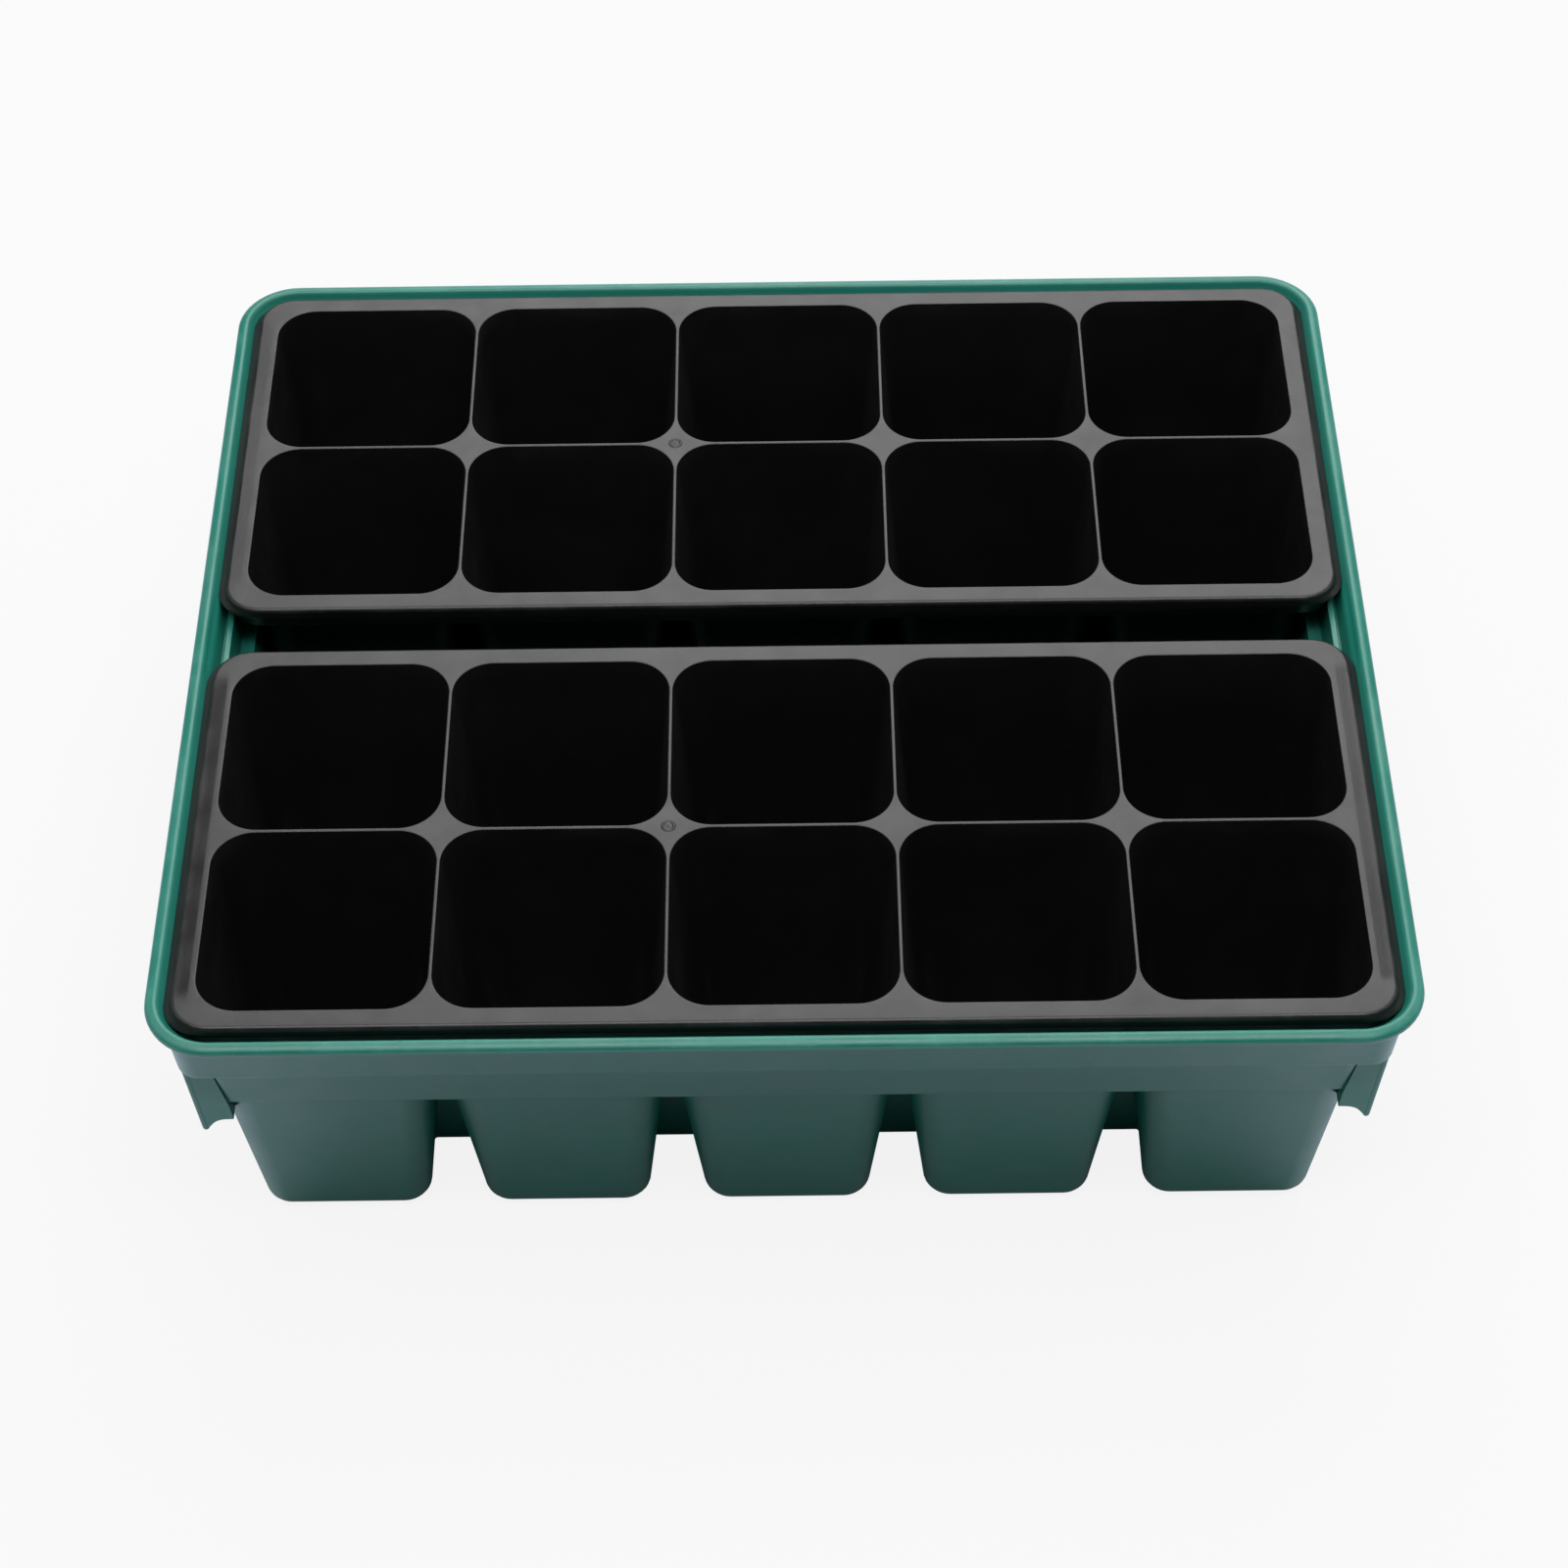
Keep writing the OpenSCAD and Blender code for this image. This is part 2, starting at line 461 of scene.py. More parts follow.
@dataclass(frozen=True)
class PlasticFinish:
    """One moulded plastic with its own colours, gloss and grain.

    Attributes:
        name: Name of the material.
        base: Triple of the plastic.
        streak: Triple of the flow streaks.
        rubbed: Triple of scuffed edges.
        dust: Triple of the dust film.
        roughness: Roughness of a clean place.
        ior: Refractive index of the surface.
        grain_fineness: Scale of the grain, larger being finer.
        grain_height: Depth of the grain in millimetres.
        streak_amount: Strength of the streaks.
        scuff_amount: Strength of the scuffs.
        dust_amount: Strength of the dust.
    """

    name: str
    base: Triple
    streak: Triple
    rubbed: Triple
    dust: Triple
    roughness: float
    ior: float = 1.52
    grain_fineness: float = 1500.0
    grain_height: float = 0.02
    streak_amount: float = 0.5
    scuff_amount: float = 0.5
    dust_amount: float = 0.2

    def build(self, effects: EffectLibrary) -> bpy.types.Material:
        """Makes the material.

        Args:
            effects: The shared node groups.

        Returns:
            The new material.
        """
        material = bpy.data.materials.new(self.name)
        material.use_nodes = True
        material.diffuse_color = (*self.base, 1.0)
        tree = material.node_tree
        tree.nodes.clear()
        desk = NodeDesk(tree)
        shader = desk.add("ShaderNodeBsdfPrincipled")
        output = desk.add("ShaderNodeOutputMaterial")
        desk.link(shader.outputs["BSDF"], output.inputs["Surface"])
        place = desk.add("ShaderNodeTexCoord").outputs["Object"]
        exposed = desk.add("ShaderNodeAttribute", "exposed edges", attribute_name=WEAR).outputs["Fac"]

        mottle = self._group(
            desk, effects.mottle,
            Place=place, Base=(*self.base, 1), Streak=(*self.streak, 1), Amount=self.streak_amount,
        )
        scuff = self._group(
            desk, effects.scuff,
            Place=place, Exposed=exposed, Base=mottle.outputs["Color"],
            Rubbed=(*self.rubbed, 1), Amount=self.scuff_amount,
        )
        dust = self._group(
            desk, effects.dust,
            Place=place, Base=scuff.outputs["Color"], Dust=(*self.dust, 1), Amount=self.dust_amount,
        )
        grain = self._group(desk, effects.grain, Place=place, Fineness=self.grain_fineness)
        warp = self._group(desk, effects.warp, Place=place)
        desk.link(dust.outputs["Color"], shader.inputs["Base Color"])

        uneven = desk.math("MULTIPLY", grain.outputs["Sheen Break"], 0.22)
        rough = desk.math("ADD", uneven, self.roughness)
        rough = desk.math("ADD", rough, desk.math("MULTIPLY", scuff.outputs["Mask"], 0.1))
        dulled = desk.math("MULTIPLY", dust.outputs["Mask"], 0.12 * self.dust_amount)
        rough = desk.math("ADD", rough, dulled, clamp=True)
        desk.link(rough, shader.inputs["Roughness"])

        long_waves = desk.add("ShaderNodeBump", "long waves")
        long_waves.inputs["Strength"].default_value = 1.0
        long_waves.inputs["Distance"].default_value = WAVE_HEIGHT * MM
        desk.link(warp.outputs["Height"], long_waves.inputs["Height"])
        grained = desk.add("ShaderNodeBump", "grain")
        grained.inputs["Strength"].default_value = GRAIN_STRENGTH
        grained.inputs["Distance"].default_value = self.grain_height * MM
        desk.link(grain.outputs["Height"], grained.inputs["Height"])
        desk.link(long_waves.outputs["Normal"], grained.inputs["Normal"])
        desk.link(grained.outputs["Normal"], shader.inputs["Normal"])

        shader.inputs["IOR"].default_value = self.ior
        return material

    @staticmethod
    def _group(desk: NodeDesk, tree: bpy.types.NodeTree, **values: object) -> bpy.types.Node:
        """Places a group in the material and sets its inputs.

        Args:
            desk: The material's desk.
            tree: The group.
            **values: Constants or outputs for the group's inputs, by name.

        Returns:
            The group node.
        """
        node = desk.add("ShaderNodeGroup", tree.name)
        node.node_tree = tree
        for label, value in values.items():
            desk.feed(node.inputs[label], value)
        return node


TEAL_BODY = PlasticFinish(
    name="teal_tray_plastic",
    base=(0.011, 0.186, 0.138),
    streak=(0.018, 0.225, 0.17),
    rubbed=(0.10, 0.38, 0.31),
    dust=(0.30, 0.38, 0.35),
    roughness=0.36,
    grain_fineness=1300.0,
    grain_height=0.018,
    streak_amount=0.5,
    scuff_amount=0.35,
    dust_amount=0.16,
)
BLACK_INSERT = PlasticFinish(
    name="black_insert_plastic",
    base=(0.006, 0.006, 0.0065),
    streak=(0.011, 0.0105, 0.0105),
    rubbed=(0.06, 0.06, 0.062),
    dust=(0.16, 0.155, 0.15),
    roughness=0.34,
    grain_fineness=1700.0,
    grain_height=0.02,
    streak_amount=0.7,
    scuff_amount=0.35,
    dust_amount=0.14,
)


@dataclass(frozen=True)
class CellGrid:
    """The cells' layout, which the tray and both inserts share.

    Attributes:
        pitch: Distance between the cells.
        columns: Cells along the tray.
        rows: Cells across one insert.
        deck_z: Height of the inserts' decks.
        depth: Depth of a cell below the deck.
        draw: How far a wall draws in over that depth.
        centre_c: Reach from a cell's middle to the corner centres of its walls.
    """

    pitch: float = 50.0
    columns: int = 5
    rows: int = 2
    deck_z: float = 82.0
    depth: float = 74.0
    draw: float = 8.2
    centre_c: float = 15.45

    def lean(self, z: float) -> float:
        """How far a wall has drawn in at a height."""
        return self.draw * (self.deck_z - z) / self.depth


GRID = CellGrid()


@dataclass
class BaseTray:
    """The green tray: rolled rim, two bands, five pocket columns with slots between, side skirts.

    Attributes:
        body: Name of the moving body that it rides on.
        node: Name of the solid that it stands for.
        wall: Thickness of the walls.
        floor_t: Thickness of the floor.
        top_r: Outer radius of the walls at the deck.
        body_x: Corner centres of the leaning walls, along the tray.
        body_y: The same, across the tray.
        rim_x: Corner centres of the rolled rim, along the tray.
        rim_y: The same, across the tray.
        bead_z: Underside of the rolled rim.
        band_low: Half length, half width and corner radius of the upper band's foot.
        band_top: The same where the band meets the rim.
        shoulder_z: Foot of the upper band.
        slot_z: Top of the slots between the columns.
        side_z: Lower edge of the side skirts.
        core_y: Reach of the slots' back walls, before their radius.
        core_r: Radius of the back walls' core.
        foot_r: Rounding between walls and floor.
        outer_arc: Points in an outer corner.
        slot_arc: Points in a slot's corner.
        fillet: Rounding at the back of a slot.
    """

    body: str = "tray"
    node: str = "base_tray"
    wall: float = 1.6
    floor_t: float = 1.8
    top_r: float = 12.1
    body_x: float = 115.45
    body_y: float = 101.3
    rim_x: float = 120.65
    rim_y: float = 106.5
    bead_z: float = 79.4
    band_low: Triple = (129.95, 115.2, 5.0)
    band_top: Triple = (131.3, 116.9, 6.8)
    shoulder_z: float = 64.2
    slot_z: float = 49.4
    side_z: float = 40.6
    core_y: float = 74.31
    core_r: float = 12.5
    foot_r: float = 4.2
    outer_arc: int = 13
    slot_arc: int = 9
    fillet: float = 1.0

    def wall_r(self, z: float) -> float:
        """Outer radius of the leaning walls at a height."""
        return self.top_r - GRID.lean(z)

    def corner_r(self, z: float) -> float:
        """Visible corner radius of a pocket column at a height."""
        return 5.6 + 2.6 * min(z, self.slot_z) / self.slot_z

    def slots(self) -> list[float]:
        """Places of the slots between the pocket columns."""
        return [(index + 1 - GRID.columns / 2) * GRID.pitch for index in range(GRID.columns - 1)]

    def outline(
        self, half_x: float, half_y: float, radius: float, slot: Triple | None = None
    ) -> Plan:
        """One ring of the tray seen from above, always with the same number of points.

        Args:
            half_x: Half of its length.
            half_y: Half of its width.
            radius: Radius of its four corners.
            slot: Half width, corner radius and back wall of each slot, or nothing for a plain ring.

        Returns:
            The ring, running to the right along the front and back along the rear.
        """
        corner = (half_x - radius, half_y - radius)
        front: Plan = arc((-corner[0], -corner[1]), radius, 180, 270, self.outer_arc)
        for x in self.slots():
            front += self._slot_points(x, half_y, slot)
        front += arc((corner[0], -corner[1]), radius, 270, 360, self.outer_arc)
        return front + [(-x, -y) for x, y in front]

    def _slot_points(self, x: float, half_y: float, slot: Triple | None) -> Plan:
        """The points of one slot on the front, or the same number of points along a plain front."""
        if slot is None:
            count = 2 * self.slot_arc + 6
            reach = 0.5 * GRID.pitch - GRID.centre_c
            return [(x - reach + 2 * reach * step / (count - 1), -half_y) for step in range(count)]
        half, round_r, back = slot
        fillet = min(self.fillet, half * 0.8)
        left = arc((x - half - round_r, -half_y + round_r), round_r, 270, 360, self.slot_arc)
        left += arc((x - half + fillet, -back - fillet), fillet, 180, 90, 3)
        return left + [(2 * x - px, py) for px, py in reversed(left)]

    def pocket(self, z: float, inset: float) -> Plan:
        """The slotted outline of the pocket columns.

        Args:
            z: Height that the wall's lean is taken at.
            inset: How far the outline is drawn in by a rounding.

        Returns:
            The ring.
        """
        reach = self.wall_r(z) - inset
        radius = max(self.corner_r(z) - 0.55 * inset, 1.2)
        radius = min(radius, reach + 5.0)
        half = 0.5 * GRID.pitch - GRID.centre_c - reach
        back = self.core_y + self.core_r + self.wall_r(z) - self.wall_r(0) - inset
        return self.outline(self.body_x + reach, self.body_y + reach, radius, (half, radius, back))

    def rim(self, radius: float) -> Plan:
        """A plain ring about the rim's corner centres."""
        return self.outline(self.rim_x + radius, self.rim_y + radius, radius)

    def build_shell(self) -> bpy.types.Object:
        """Makes the tray's wall, from under the feet, over the rim and down to the inner floor."""
        shell = Shell()
        outside = self._outside_rings(shell)
        inside = self._inside_rings(shell)
        shell.stack(outside + inside)
        shell.face(outside[0])
        shell.face(inside[-1])
        return shell.build("tray_shell")

    def _outside_rings(self, shell: Shell) -> list[list[Vert]]:
        """Adds the rings of the outside, from the foot to the rim's crown."""
        foot = quarter(self.foot_r, 8)
        rings = [shell.ring(self.pocket(rise, inset), rise, 0.5) for inset, rise in foot]
        rings.append(shell.ring(self.pocket(self.slot_z, 0.0), self.slot_z))

        step_r = self.wall_r(self.slot_z) + 0.8
        low_corner = 6.0 - (self.wall_r(self.shoulder_z) - self.wall_r(self.slot_z))
        for inset, rise in quarter(0.55, 5):
            reach = step_r - inset
            plan = self.outline(self.body_x + reach, self.body_y + reach, low_corner - inset)
            rings.append(shell.ring(plan, self.slot_z + rise, 0.6))
        high_r = self.wall_r(self.shoulder_z) + 0.8
        plain_top = self.outline(self.body_x + high_r, self.body_y + high_r, 6.0)
        rings.append(shell.ring(plain_top, self.shoulder_z))

        low_x, low_y, low_r = self.band_low
        for inset, rise in quarter(0.7, 5):
            plan = self.outline(low_x - inset, low_y - inset, low_r - inset)
            rings.append(shell.ring(plan, self.shoulder_z + rise, 0.8))
        rings.append(shell.ring(self.outline(*self.band_top), self.bead_z - 0.25))
        rings.append(shell.ring(self.rim(10.75), self.bead_z))
        profile = [
            (13.9, 79.4, 0.2), (14.25, 79.46, 0.4), (14.44, 79.62, 0.5), (14.5, 79.9, 0.6),
            (14.5, 80.25, 0.6), (14.44, 80.58, 0.8), (14.27, 80.86, 1.0), (14.0, 81.1, 1.0),
            (13.6, 81.33, 1.0), (13.15, 81.51, 0.9), (12.7, 81.6, 0.8), (12.35, 81.6, 0.7),
            (12.05, 81.52, 0.5), (11.75, 81.32, 0.3), (11.5, 80.98, 0.2), (11.3, 80.55, 0.1),
            (11.1, 80.1, 0.0), (10.8, 79.6, 0.0), (10.35, 79.1, 0.0), (10.0, 78.4, 0.0),
        ]
        rings += [shell.ring(self.rim(radius), z, wear) for radius, z, wear in profile]
        return rings

    def _inside_rings(self, shell: Shell) -> list[list[Vert]]:
        """Adds the rings of the inside, from below the rim to the floor."""
        profile = [
            (9.8, 77.0), (9.6, 75.5), (9.35, 74.0), (9.2, 73.75), (8.8, 73.75), (8.6, 74.0),
            (8.5, 75.5), (8.3, 75.8), (7.4, 75.8), (7.12, 75.68), (7.0, 75.4), (7.0, 66.6),
        ]
        rings = [shell.ring(self.rim(radius), z, 0.3 if z > 75.3 else 0.0) for radius, z in profile]
        step_z = self.shoulder_z + self.wall
        body_r = self.wall_r(step_z) - self.wall
        rings.append(shell.ring(self.rim(6.6), step_z))
        plan = self.outline(self.body_x + body_r, self.body_y + body_r, body_r)
        rings.append(shell.ring(plan, step_z))
        roof_z = self.slot_z + self.wall
        roof_r = self.wall_r(roof_z) - self.wall
        plan = self.outline(self.body_x + roof_r, self.body_y + roof_r, roof_r)
        rings.append(shell.ring(plan, roof_z))
        rings.append(shell.ring(self.inner_pocket(roof_z, 0.0), roof_z))
        for inset, rise in reversed(quarter(1.2, 5)):
            rings.append(shell.ring(self.inner_pocket(self.floor_t + rise, inset), self.floor_t + rise))
        return rings

    def inner_pocket(self, z: float, inset: float) -> Plan:
        """The slotted outline of the inside of the pocket columns."""
        reach = self.wall_r(z) - self.wall - inset
        radius = max(reach, 0.6)
        half = 0.5 * GRID.pitch - GRID.centre_c - reach
        back = self.core_y + self.core_r + self.wall_r(z) - self.wall_r(0) - self.wall - inset
        return self.outline(self.body_x + reach, self.body_y + reach, radius, (half, radius, back))

    def build_skirt(self, side: int) -> bpy.types.Object:
        """Makes one side skirt with its two cross webs.

        Args:
            side: 1 for the right end of the tray, -1 for the left.

        Returns:
            The skirt's object.
        """
        shell = Shell()
        length = 111.5
        rings = []
        for inset, place in [(0.55, -length), (0.2, -length + 0.12), (0.0, -length + 0.5)]:
            rings.append(self._skirt_section(shell, side, place, inset))
        for inset, place in [(0.0, length - 0.5), (0.2, length - 0.12), (0.55, length)]:
            rings.append(self._skirt_section(shell, side, place, inset))
        shell.stack(rings)
        shell.face(rings[0])
        shell.face(rings[-1])
        for facing in (-1, 1):
            self._web(shell, side, facing)
        name = "tray_skirt_right" if side > 0 else "tray_skirt_left"
        return shell.build(name, sharp=45.0)

    def _skirt_section(self, shell: Shell, side: int, y: float, inset: float) -> list[Vert]:
        """Adds the skirt's section at one place along it."""
        top_x, low_x, thick, half = 129.7, 127.55, 1.6, 0.8
        section = [(top_x - inset, 64.7)]
        section += [
            (px, pz) for px, pz in arc((low_x - half, self.side_z + half), half - inset, 0, -180, 9)
        ]
        section.append((top_x - thick + inset, 64.7))
        return [shell.point(side * x, y, z, 0.7 if z < 45 else 0.2) for x, z in section]

    def _web(self, shell: Shell, side: int, facing: int) -> None:
        """Adds one cross web with its curved lower edge.

        Args:
            shell: The skirt's shell.
            side: 1 for the right end of the tray, -1 for the left.
            facing: -1 for the front web, 1 for the rear one.
        """
        lower = [
            (127.0, 40.7), (126.5, 40.95), (126.0, 41.4), (125.5, 42.05), (125.0, 42.75), (124.4, 43.4),
            (123.7, 43.85), (122.9, 44.15), (122.0, 44.3), (120.3, 44.35),
        ]
        inner = [(120.7, 49.0), (123.8, 64.5)]
        edge = [(129.3, 64.5), (127.4, 45.0)] + lower + inner
        rings = []
        for y, inset in [(106.0, 0.2), (106.2, 0.0), (111.15, 0.0), (111.4, 0.25)]:
            rings.append([shell.point(side * x, facing * y, z + inset, 0.4) for x, z in edge])
        shell.stack(rings)
        shell.face(rings[0])
        shell.face(rings[-1])

    def dress(self, finish: bpy.types.Material) -> list[bpy.types.Object]:
        """Builds every mesh of the tray, gives them their plastic and ties them to the body.

        Args:
            finish: The tray's plastic.

        Returns:
            The new objects.
        """
        pieces = [self.build_shell(), self.build_skirt(-1), self.build_skirt(1)]
        for piece in pieces:
            piece.data.materials.append(finish)
            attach(piece, self.body)
            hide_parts(self.node)
        return pieces


@dataclass
class CellInsert:
    """A black insert: a deck with a turned-down edge and a tapered cup under each of its ten mouths.

    Attributes:
        place: Which of the two inserts this is.
        body: Name of the moving body that it rides on.
        deck_t: Thickness of the deck.
        skirt_z: Foot of the turned-down edge, which rests on the tray's ledge.
        half_x: Half of the deck's length.
        half_y: Half of its width.
        corner_r: Radius of its corners.
        mouth_r: Corner radius of a mouth.
        cell_wall: Thickness of a cup's wall.
        cup_z: Underside of a cup.
        cell_floor: Thickness of its floor.
        drain_r: Radius of its drain hole.
        edge_r: Rounding of the deck's edge.
        flare: How far the lip under the edge stands out at the two ends.
        foot_in: How far inside the deck's edge the foot stands.
        end_sag: How far the strips at the two ends have sunk.
        lip_r: Rounding of a mouth's edge.
        arc_points: Points in each corner of a mouth.
        centre_y: Middle of the insert, taken from its solid.
    """

    place: Place
    body: str
    deck_t: float = 1.2
    skirt_z: float = 75.8
    half_x: float = 129.65
    half_y: float = 54.6
    corner_r: float = 8.5
    mouth_r: float = 9.1
    cell_wall: float = 0.9
    cup_z: float = 7.0
    cell_floor: float = 1.0
    drain_r: float = 4.0
    edge_r: float = 1.1
    flare: float = 1.5
    foot_in: float = 0.8
    end_sag: float = 0.0
    lip_r: float = 0.24
    arc_points: int = 17
    centre_y: float = field(init=False)

    def __post_init__(self) -> None:
        """Takes the insert's place from its solid."""
        low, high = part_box(self.place.value)
        self.centre_y = (low.y + high.y) / 2 / MM

    def centres(self) -> Plan:
        """Middles of the ten cells."""
        return [
            ((column - (GRID.columns - 1) / 2) * GRID.pitch, (row - (GRID.rows - 1) / 2) * GRID.pitch)
            for row in range(GRID.rows)
            for column in range(GRID.columns)
        ]

    def mouth(self, centre: Pair, half: float, radius: float) -> Plan:
        """A rounded square about a cell's middle.

        Args:
            centre: Middle of the cell.
            half: Half of its side.
            radius: Radius of its corners.

        Returns:
            The ring, with the same number of points in each corner.
        """
        reach = half - radius
        ring: Plan = []
        for turn, (sx, sy) in enumerate([(1, 1), (-1, 1), (-1, -1), (1, -1)]):
            ring += arc(
                (centre[0] + sx * reach, centre[1] + sy * reach),
                radius, 90 * turn, 90 * turn + 90, self.arc_points,
            )
        return ring

    def tile(self, centre: Pair) -> Plan:
        """The square of deck that belongs to a cell, with points to match its mouth's ring."""
        half = GRID.pitch / 2
        steps = (self.arc_points - 1) // 2
        start = GRID.centre_c
        run = [(half, start + (half - start) * step / steps) for step in range(steps + 1)]
        run += [(half - (half - GRID.centre_c) * step / steps, half) for step in range(1, steps + 1)]
        ring: Plan = []
        for turn in range(4):
            cos, sin = round(math.cos(math.pi / 2 * turn)), round(math.sin(math.pi / 2 * turn))
            ring += [(centre[0] + x * cos - y * sin, centre[1] + x * sin + y * cos) for x, y in run]
        return ring

    def block_edge(self) -> Plan:
        """Points round the outside of all the tiles together, in order."""
        limit_x, limit_y = GRID.columns * GRID.pitch / 2, GRID.rows * GRID.pitch / 2
        found = {
            (round(x, 4), round(y, 4))
            for centre in self.centres()
            for x, y in self.tile(centre)
            if abs(abs(x) - limit_x) < 0.001 or abs(abs(y) - limit_y) < 0.001
        }
        sides = [
            sorted([p for p in found if abs(p[0] - limit_x) < 0.001], key=lambda p: p[1]),
            sorted([p for p in found if abs(p[1] - limit_y) < 0.001], key=lambda p: -p[0]),
            sorted([p for p in found if abs(p[0] + limit_x) < 0.001], key=lambda p: -p[1]),
            sorted([p for p in found if abs(p[1] + limit_y) < 0.001], key=lambda p: p[0]),
        ]
        return list(dict.fromkeys(point for side in sides for point in side))

    def rim(self, edge: Plan, draw_in: float) -> Plan:
        """Carries the block's edge out to the insert's rounded outline.

        Args:
            edge: Points round the tiles.
            draw_in: How far the outline is drawn in.

        Returns:
            One point of the outline for each point of the edge.
        """
        centre_x, centre_y = self.half_x - self.corner_r, self.half_y - self.corner_r
        radius = self.corner_r - draw_in
        out: Plan = []
        for x, y in edge:
            over_x, over_y = abs(x) - centre_x, abs(y) - centre_y
            if over_x > 0 and over_y > 0:
                angle = math.atan2(over_y, over_x)
                px, py = centre_x + radius * math.cos(angle), centre_y + radius * math.sin(angle)
            elif over_x > 0:
                px, py = centre_x + radius, abs(y)
            else:
                px, py = abs(x), centre_y + radius
            out.append((math.copysign(px, x), math.copysign(py, y)))
        return out

    def build(self) -> bpy.types.Object:
        """Makes the insert's mesh."""
        shell = Shell()
        for centre in self.centres():
            self._cup(shell, centre)
        self._border(shell)
        self._gate_mark(shell)
        for vert in shell.mesh.verts:
            vert.co.y += self.centre_y * MM
        return shell.build(f"{self.place.value}_moulding", sharp=50.0)

    def _cup(self, shell: Shell, centre: Pair) -> None:
        """Adds one cell: its share of the deck, its lip, its inside, its drain hole and its outside."""
        half = GRID.centre_c + self.mouth_r
        rings = [shell.ring(self.tile(centre), GRID.deck_z)]
        for inset, drop in quarter(self.lip_r, 4):
            plan = self.mouth(centre, half + inset, self.mouth_r + inset)
            rings.append(shell.ring(plan, GRID.deck_z - drop, 0.5))
        floor_z = self.cup_z + self.cell_floor
        throat_z = GRID.deck_z - 4.6
        rings += self._cup_rings(shell, centre, 0.0, floor_z, [throat_z], 2.2)
        chamfer = 0.25
        for grow, z in [(chamfer, floor_z), (0.0, floor_z - chamfer), (0.0, self.cup_z)]:
            radius = self.drain_r + grow
            hole = arc(centre, radius, 0, 360, 4 * self.arc_points + 1)[:-1]
            rings.append(shell.ring(hole, z))
        under_z = GRID.deck_z - self.deck_t
        outside = self._cup_rings(shell, centre, self.cell_wall, self.cup_z, [under_z, throat_z], 2.8)
        rings += reversed(outside)
        rings.append(shell.ring(self.tile(centre), under_z))
        shell.stack(rings)

    def _cup_rings(
        self,
        shell: Shell,
        centre: Pair,
        grow: float,
        floor_z: float,
        tops: list[float],
        foot: float,
    ) -> list[list[Vert]]:
        """Adds the rings of a cup's wall from its top down to its floor.

        Args:
            shell: The insert's shell.
            centre: Middle of the cell.
            grow: Thickness added outside the inner wall.
            floor_z: Height of the floor's surface.
            tops: Heights of the first rings.
            foot: Radius of the rounding between wall and floor.

        Returns:
            The rings, highest first.
        """
        limit = GRID.pitch / 2 - 0.03
        levels = [(z, 0.0) for z in [*tops, 58.0, 34.0]]
        levels += [(floor_z + rise, inset) for inset, rise in reversed(quarter(foot, 5))]
        rings = []
        for z, inset in levels:
            half = min(GRID.centre_c + self.mouth_r + grow - GRID.lean(z), limit) - inset
            radius = self.mouth_r + grow - GRID.lean(z) * 0.62 - inset * 0.6
            rings.append(shell.ring(self.mouth(centre, half, min(radius, half * 0.98)), z))
        return rings

    def _border(self, shell: Shell) -> None:
        """Adds the deck's border, its rounded edge and the turned-down skirt."""
        edge = self.block_edge()
        flat = self.rim(edge, self.edge_r)
        rings = [shell.ring(edge, GRID.deck_z)]
        for part, sag in [(0.2, 0.0), (0.32, 0.08), (0.66, 0.58)]:
            plan = [
                (ax + (bx - ax) * part, ay + (by - ay) * part)
                for (ax, ay), (bx, by) in zip(edge, flat)
            ]
            rings.append(shell.ring(plan, self._sunken(plan, GRID.deck_z, sag), 0.2))
        for inset, drop in quarter(self.edge_r, 9):
            plan = self.rim(edge, inset)
            share = 1.0 - drop / self.edge_r
            rings.append(shell.ring(plan, self._sunken(plan, GRID.deck_z - drop, share), 1.0))
        for share, z in [(0.3, 80.6), (0.9, 79.98), (1.0, 79.85), (0.95, 79.7), (0.2, 79.2)]:
            rings.append(shell.ring(self._flared(edge, share), z, 0.3 if share > 0.8 else 0.0))
        skirt = [
            (0.0, 78.6, 0.0), (0.2, self.skirt_z + 0.25, 0.4), (0.4, self.skirt_z, 0.6),
            (1.1, self.skirt_z, 0.4), (1.3, self.skirt_z + 0.25, 0.0),
            (1.1, GRID.deck_z - self.deck_t - 0.8, 0.0),
        ]
        rings += [shell.ring(self.rim(edge, self.foot_in + inset), z, wear) for inset, z, wear in skirt]
        rings.append(shell.ring(edge, GRID.deck_z - self.deck_t))
        shell.stack(rings)

    def _flared(self, edge: Plan, share: float) -> Plan:
        """The rounded outline with its two ends flared outwards.

        Args:
            edge: Points round the tiles.
            share: How much of the full flare this ring has.

        Returns:
            The ring.
        """
        start_x, run_in = self.half_x - self.corner_r, 3.0
        ring: Plan = []
        for x, y in self.rim(edge, 0.0):
            part = min(max((abs(x) - start_x) / run_in, 0.0), 1.0)
            ring.append((x + math.copysign(self.flare * share * part, x), y))
        return ring

    def _sunken(self, plan: Plan, height: float, share: float) -> list[float]:
        """Heights of a ring whose two ends have sunk and whose long sides have not.

        Args:
            plan: The ring seen from above.
            height: Height of the long sides.
            share: How much of the full sag this ring has.

        Returns:
            One height for each point.
        """
        heights = []
        for x, y in plan:
            along = min(max((self.half_y - self.corner_r + 1.0 - abs(y)) / 3.0, 0.0), 1.0)
            at_end = along if abs(x) > GRID.columns * GRID.pitch / 2 else 0.0
            heights.append(height - self.end_sag * share * at_end)
        return heights

